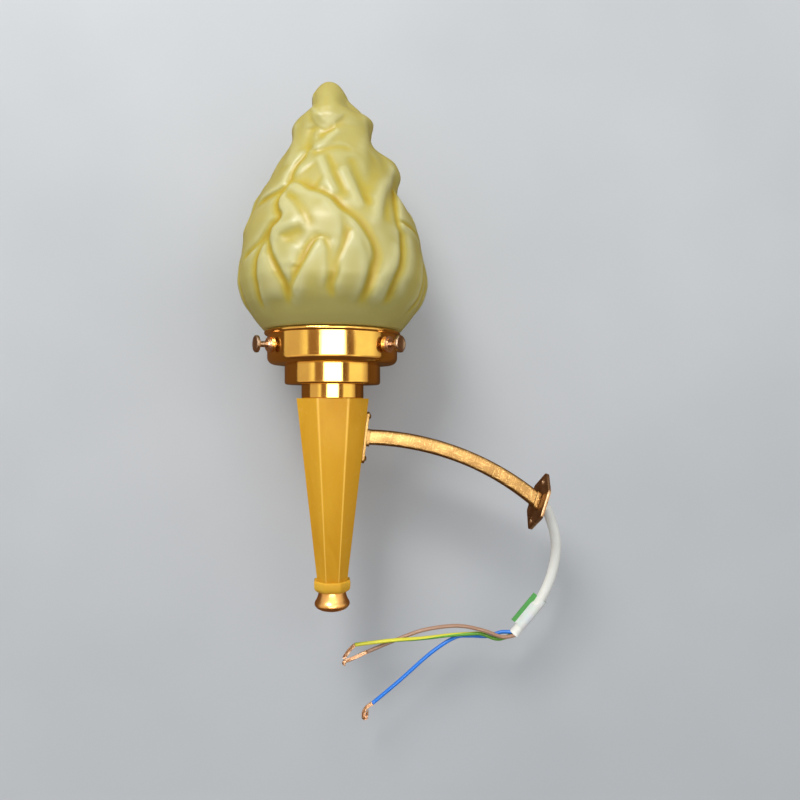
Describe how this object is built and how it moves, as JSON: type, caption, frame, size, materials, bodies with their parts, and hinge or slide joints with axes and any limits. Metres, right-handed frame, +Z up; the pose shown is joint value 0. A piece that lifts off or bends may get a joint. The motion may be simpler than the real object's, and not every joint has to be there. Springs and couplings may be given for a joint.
{
  "type": "torch wall light",
  "caption": "Torch-shaped wall light with a hollow flame-shaped glass shade in a stepped brass gallery, on a tapered handle carried by a curved arm from a wall plate, with its mains lead.",
  "frame": {"origin": "middle of the back face of the wall plate, between its two screw holes", "axes": "+Y into the wall along the plate's normal, +Z up, +X to the side; the torch stands on the -Y side and leans away from the wall at its top"},
  "size_m": [0.123, 0.2768, 0.4042],
  "materials": {
    "dark_bronze": "darkened, polished",
    "worn_brass": "scratched",
    "gallery_brass": "polished",
    "copper_brass": "polished",
    "screw_bronze": "dull",
    "amber": "polished amber resin",
    "steel": "plain",
    "contact_brass": "plain",
    "holder_white": "matt white",
    "frosted_glass": "frosted, pale yellow-green",
    "lead_white": "satin",
    "label_paper": "green stripe on white",
    "core_brown": "satin",
    "core_blue": "satin",
    "core_earth": "green with a yellow stripe",
    "copper": "bare copper strands"
  },
  "bodies": {
    "sconce": {"wall_plate": "dark_bronze", "plate_ferrule": "worn_brass", "arm_tube": "worn_brass", "arm_lead": "lead_white", "arm_bracket": "worn_brass", "bracket_screws": "worn_brass", "torch_handle": "amber", "foot_collar": "amber", "finial_knob": "copper_brass", "centre_tube": "steel", "neck_collar": "gallery_brass", "step_cup": "gallery_brass", "gallery_cup": "gallery_brass", "screw_bosses": "gallery_brass", "earth_tag": "contact_brass", "gallery_washer": "steel", "gallery_nut": "contact_brass", "holder_cap": "holder_white", "holder_skirt": "holder_white", "holder_core": "holder_white", "screw_shell": "contact_brass", "centre_contact": "contact_brass", "side_contact": "contact_brass", "terminal_screws": "steel", "inner_cores": "core_brown", "flame_shade": "frosted_glass", "lead_sheath": "lead_white", "lead_label": "label_paper", "core_brown": "core_brown", "core_blue": "core_blue", "core_earth": "core_earth", "wire_brown": "copper", "wire_blue": "copper", "wire_earth": "copper"},
    "screw_front_left": {"shank_front_left": "screw_bronze"},
    "screw_head_front_left": {"head_front_left": "screw_bronze"},
    "screw_front_right": {"shank_front_right": "screw_bronze"},
    "screw_head_front_right": {"head_front_right": "screw_bronze"},
    "screw_back": {"shank_back": "screw_bronze"},
    "screw_head_back": {"head_back": "screw_bronze"}
  },
  "joints": [
    {"name": "loosen_front_left", "type": "slide", "parent": "sconce", "child": "screw_front_left", "axis": [0.3907, -0.8755, -0.2845], "range_m": [0, 0.0035]},
    {"name": "turn_front_left", "type": "hinge", "parent": "screw_front_left", "child": "screw_head_front_left", "pos_m": [0.01973, -0.20988, 0.04093], "axis": [0.3907, -0.8755, -0.2845], "range_deg": [0, 1801]},
    {"name": "loosen_front_right", "type": "slide", "parent": "sconce", "child": "screw_front_right", "axis": [0.6018, 0.7595, 0.2468], "range_m": [0, 0.0035]},
    {"name": "turn_front_right", "type": "hinge", "parent": "screw_front_right", "child": "screw_head_front_right", "pos_m": [0.03039, -0.12731, 0.06776], "axis": [0.6018, 0.7595, 0.2468], "range_deg": [0, 1801]},
    {"name": "loosen_back", "type": "slide", "parent": "sconce", "child": "screw_back", "axis": [-0.9925, 0.1159, 0.0377], "range_m": [0, 0.0035]},
    {"name": "turn_back", "type": "hinge", "parent": "screw_back", "child": "screw_head_back", "pos_m": [-0.05012, -0.15982, 0.0572], "axis": [-0.9925, 0.1159, 0.0377], "range_deg": [0, 1801]}
  ],
  "couplings": [
    {"joint": "turn_front_left", "follows": "loosen_front_left", "rad_per_m": 8976},
    {"joint": "turn_front_right", "follows": "loosen_front_right", "rad_per_m": 8976},
    {"joint": "turn_back", "follows": "loosen_back", "rad_per_m": 8976}
  ]
}
